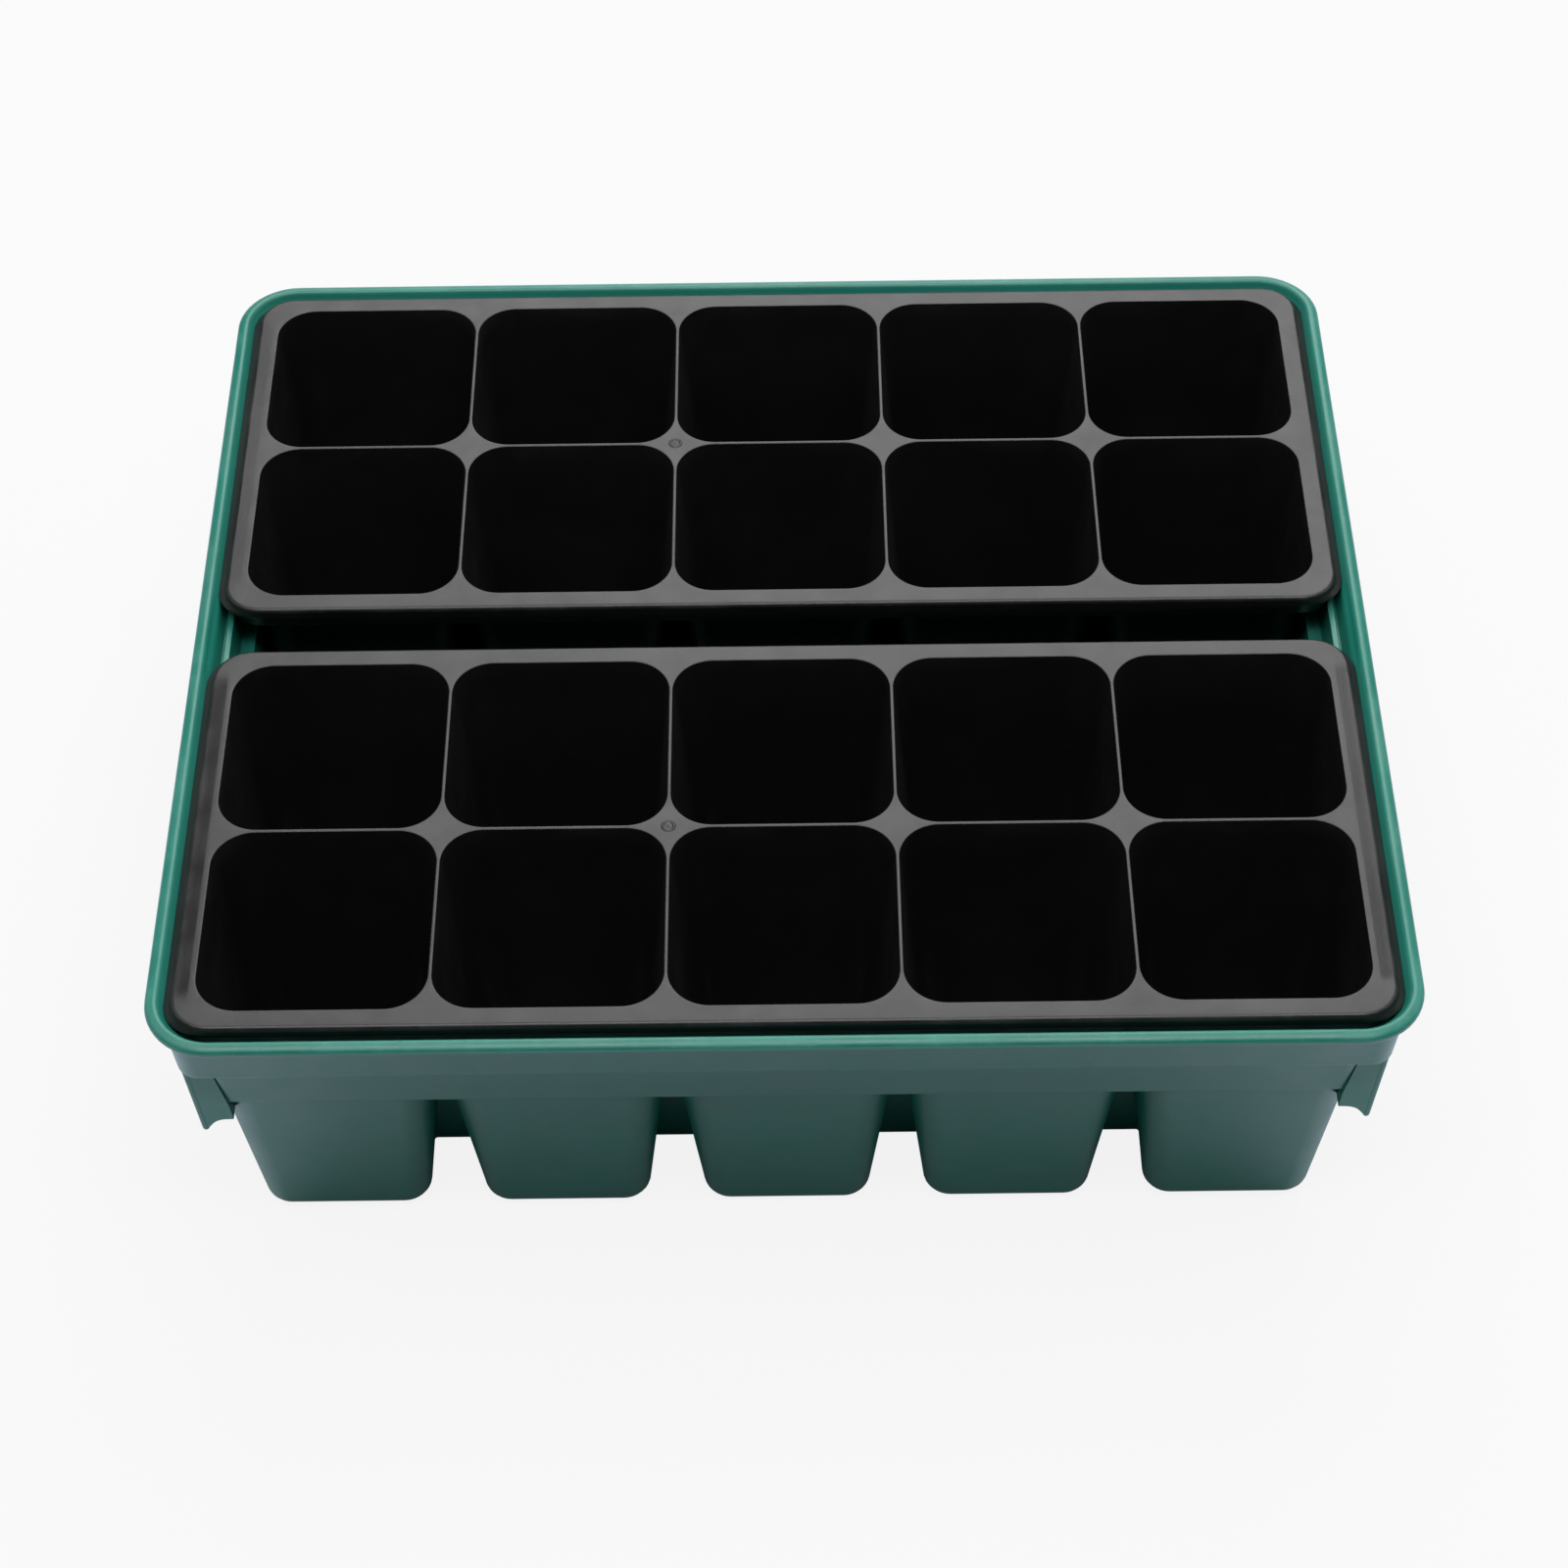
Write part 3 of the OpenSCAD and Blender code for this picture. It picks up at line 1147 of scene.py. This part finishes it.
    def _gate_mark(self, shell: Shell) -> None:
        """Adds the small ring left on the deck where the plastic was injected."""
        x, count = -GRID.pitch / 2, 32
        profile = [
            (1.75, -0.1, 0.0), (1.62, 0.06, 0.6), (1.42, 0.17, 1.0), (1.2, 0.19, 1.0), (1.0, 0.1, 0.6),
            (0.86, -0.04, 0.0), (0.6, -0.08, 0.0), (0.42, 0.04, 0.8), (0.2, 0.07, 0.8),
        ]
        rings = []
        for radius, lift, wear in profile:
            plan = [(x + px, py) for px, py in arc((0.0, 0.0), radius, 0, 360, count + 1)[:-1]]
            rings.append(shell.ring(plan, GRID.deck_z + lift, wear))
        shell.stack(rings)
        shell.face(rings[-1])
        base = [(x + px, py) for px, py in arc((0.0, 0.0), 1.7, 0, 360, count + 1)[:-1]]
        foot = shell.ring(base, GRID.deck_z - 0.3)
        shell.stack([rings[0], foot])
        shell.face(foot)

    def dress(self, finish: bpy.types.Material) -> bpy.types.Object:
        """Builds the insert, gives it its plastic and ties it to its body.

        Args:
            finish: The insert's plastic.

        Returns:
            The new object.
        """
        piece = self.build()
        piece.data.materials.append(finish)
        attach(piece, self.body)
        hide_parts(self.place.value)
        return piece


@dataclass
class Studio:
    """Floor, soft lights, surroundings and camera.

    Attributes:
        paper: Brightness of the floor and background as they are seen.
        shown: Share of the floor's brightness that does not depend on the lights.
        mirrored: Strength of the floor's painted glow where it is seen in a glossy surface; reflections
            of the floor come from this emission, not from the lamps.
        mirror_limit: Highest strength of that painted glow.
        reflected_shade_reach: How far, in metres, ambient occlusion looks when it paints shade into
            that glow beside the tray.
        reflected_shade_power: How quickly that painted shade darkens.
        floor_half: Half of the floor's side, in metres.
    """

    paper: float = 0.95
    shown: float = 0.92
    mirrored: float = 3.1
    mirror_limit: float = 1.5
    reflected_shade_reach: float = 0.3
    reflected_shade_power: float = 3.2
    floor_half: float = 6.0

    def build(self) -> None:
        """Sets up all of it."""
        self._floor()
        self._lights()
        self._world()
        self._camera()

    def _floor(self) -> None:
        """Makes the pale floor, which keeps the part's soft shadow where it is seen directly. Seen in a
        glossy surface it is a painted reflection: a cool-tinted glow with painted shade from ambient
        occlusion beside the tray. For light bounced onto the part it has a dark colour.
        """
        mesh = bmesh.new()
        half = self.floor_half
        corners = [(-half, -half), (half, -half), (half, half), (-half, half)]
        mesh.faces.new([mesh.verts.new((x, y, 0.0)) for x, y in corners])
        data = bpy.data.meshes.new("studio_floor")
        mesh.to_mesh(data)
        mesh.free()
        floor = bpy.data.objects.new("studio_floor", data)
        bpy.context.scene.collection.objects.link(floor)
        material = bpy.data.materials.new("studio_paper")
        material.use_nodes = True
        tree = material.node_tree
        tree.nodes.clear()
        desk = NodeDesk(tree)
        path = desk.add("ShaderNodeLightPath")
        paper = desk.add("ShaderNodeBsdfDiffuse")
        # Pale where the floor is seen, dark for light that it bounces onto the part.
        pale, dim = (0.9, 0.9, 0.9, 1), (0.13, 0.13, 0.13, 1)
        desk.link(desk.mix_colour(path.outputs["Is Diffuse Ray"], pale, dim), paper.inputs["Color"])
        plain = desk.add("ShaderNodeEmission")
        white = (self.paper, self.paper, self.paper, 1)
        # Painted reflection: glossy surfaces see the floor as this cool-tinted glow.
        painted_reflection_tint = desk.mix_colour(path.outputs["Is Glossy Ray"], white, (0.84, 0.95, 1.08, 1))
        desk.link(painted_reflection_tint, plain.inputs["Color"])
        blend = desk.add("ShaderNodeMixShader")
        # Painted shade: ambient occlusion darkens the floor's reflected glow beside the tray, raised to
        # a power, scaled and capped.
        painted_shade = desk.add("ShaderNodeAmbientOcclusion")
        painted_shade.samples = 8
        painted_shade.inputs["Distance"].default_value = self.reflected_shade_reach
        shaded = desk.math("POWER", painted_shade.outputs["AO"], self.reflected_shade_power)
        open_floor = desk.math("MULTIPLY", shaded, self.mirrored)
        open_floor = desk.math("MINIMUM", open_floor, self.mirror_limit)
        glossy = path.outputs["Is Glossy Ray"]
        reflected = desk.math("MULTIPLY", glossy, open_floor)
        desk.link(desk.math("ADD", reflected, path.outputs["Is Camera Ray"]), plain.inputs["Strength"])
        seen = desk.math("MULTIPLY", path.outputs["Is Camera Ray"], self.shown)
        # Glossy rays see only the painted glow, never the lamp-lit floor.
        desk.link(desk.math("MAXIMUM", seen, glossy), blend.inputs[0])
        desk.link(paper.outputs["BSDF"], blend.inputs[1])
        desk.link(plain.outputs["Emission"], blend.inputs[2])
        output = desk.add("ShaderNodeOutputMaterial")
        desk.link(blend.outputs["Shader"], output.inputs["Surface"])
        data.materials.append(material)

    def _lights(self) -> None:
        """Places the soft boxes: behind, above, over the front, and one at each side."""
        self._panel("rear_panel", (0.13, 1.0, 1.1), (0.0, 0.1, 0.08), (1.15, 1.2), 3.4)
        self._panel("top_panel", (0.0, -0.05, 1.45), (0.0, 0.0, 0.08), (2.0, 0.7), 1.5)
        self._panel("front_panel", (0.0, -0.46, 1.3), (0.0, -0.05, 0.08), (1.1, 0.24), 9.0)
        self._panel("left_panel", (-1.0, 0.2, 0.8), (0.0, 0.0, 0.08), (0.8, 0.6), 0.8)
        self._panel("right_panel", (1.0, 0.2, 0.8), (0.0, 0.0, 0.08), (0.8, 0.6), 1.1)

    @staticmethod
    def _panel(name: str, place: Triple, aim: Triple, size: Pair, glow: float) -> None:
        """Adds one rectangular soft box.

        Args:
            name: Name of the lamp.
            place: Where it hangs, in metres.
            aim: What it faces.
            size: Its two sides, in metres.
            glow: Brightness of its surface, 1 being white.
        """
        lamp = bpy.data.lights.new(name, "AREA")
        lamp.shape = "RECTANGLE"
        lamp.size, lamp.size_y = size
        lamp.energy = glow * math.pi * size[0] * size[1]
        holder = bpy.data.objects.new(name, lamp)
        holder.location = place
        holder.rotation_euler = (Vector(aim) - Vector(place)).to_track_quat("-Z", "Y").to_euler()
        bpy.context.scene.collection.objects.link(holder)

    def _world(self) -> None:
        """Makes surroundings that are pale to look at and give little light."""
        world = bpy.data.worlds.new("studio_surroundings")
        bpy.context.scene.world = world
        world.use_nodes = True
        tree = world.node_tree
        tree.nodes.clear()
        desk = NodeDesk(tree)
        path = desk.add("ShaderNodeLightPath")
        back = desk.add("ShaderNodeBackground")
        given, seen = (0.09, 0.095, 0.1, 1), (self.paper, self.paper, self.paper, 1)
        desk.link(desk.mix_colour(path.outputs["Is Camera Ray"], given, seen), back.inputs["Color"])
        output = desk.add("ShaderNodeOutputWorld")
        desk.link(back.outputs["Background"], output.inputs["Surface"])

    @staticmethod
    def _camera() -> None:
        """Places the camera in front of and above the tray."""
        lens = bpy.data.cameras.new("camera")
        lens.lens = 81.93
        lens.sensor_width = 36.0
        lens.clip_start = 0.01
        camera = bpy.data.objects.new("camera", lens)
        turn = (
            Matrix.Rotation(math.radians(0.231), 4, "Z")
            @ Matrix.Rotation(math.radians(41.205), 4, "X")
            @ Matrix.Rotation(math.radians(-0.859), 4, "Z")
        )
        camera.matrix_world = Matrix.Translation((0.00253, -0.5695, 0.67643)) @ turn
        bpy.context.scene.collection.objects.link(camera)
        bpy.context.scene.camera = camera


def report(pieces: Sequence[bpy.types.Object]) -> None:
    """Logs the size of each piece."""
    for piece in pieces:
        data = piece.data
        LOG.info("%s: %d vertices, %d faces", piece.name, len(data.vertices), len(data.polygons))


def main() -> None:
    """Builds the tray, the two inserts and the studio, in that order."""
    logging.basicConfig(level=logging.INFO, format="%(name)s: %(message)s")
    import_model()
    Studio().build()
    effects = EffectLibrary()
    teal = TEAL_BODY.build(effects)
    black = BLACK_INSERT.build(effects)
    pieces = BaseTray().dress(teal)
    for place in Place:
        sag = 0.42 if place is Place.FRONT else 0.1
        pieces.append(CellInsert(place, body=place.value, end_sag=sag).dress(black))
    report(pieces)
    scene = bpy.context.scene
    scene.view_settings.view_transform = "Standard"
    bpy.context.view_layer.update()


if __name__ == "__main__":
    main()
